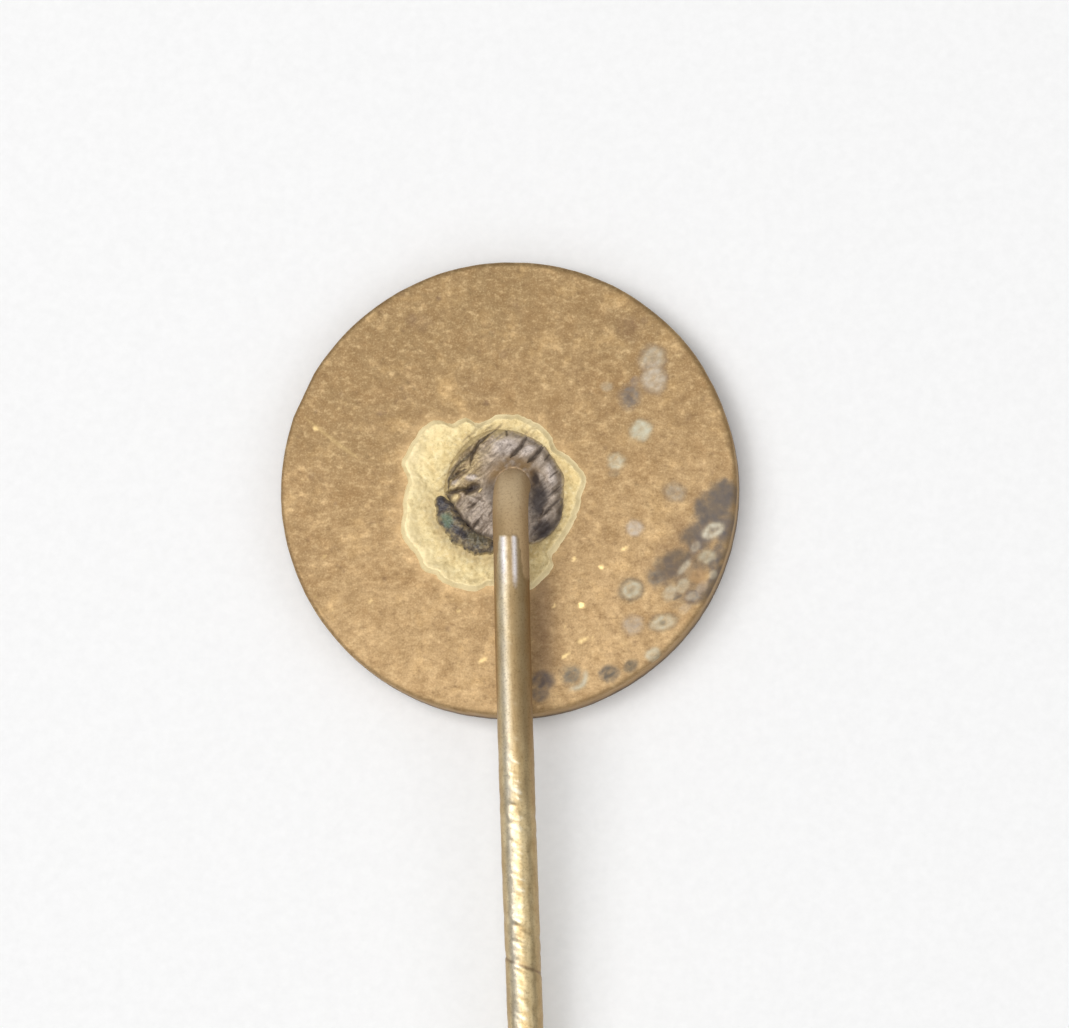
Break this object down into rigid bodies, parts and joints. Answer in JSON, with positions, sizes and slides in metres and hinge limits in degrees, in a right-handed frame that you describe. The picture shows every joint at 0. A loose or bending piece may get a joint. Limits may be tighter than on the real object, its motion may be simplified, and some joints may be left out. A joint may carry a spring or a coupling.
{
  "type": "tie pin",
  "caption": "Round brass tie pin: a flat disc head with a bent wire pin soldered to its back, lying face down.",
  "frame": {"origin": "centre of the head's front face, on which the pin lies", "axes": "+Z out of the back of the head, +Y away from the point, so that the wire runs towards -Y"},
  "size_m": [0.013, 0.038, 0.0034],
  "materials": {
    "head_brass": "matte, aged",
    "solder_bright": "satin",
    "solder_oxidised": "rough, oxidised",
    "flux_glass": "dark glassy crust",
    "wire_brass": "worn bright"
  },
  "bodies": {
    "root": {"head_disc": "head_brass", "solder_pool": "solder_bright", "solder_fillet": "solder_oxidised", "flux_crust": "flux_glass", "pin_wire": "wire_brass"}
  },
  "joints": []
}
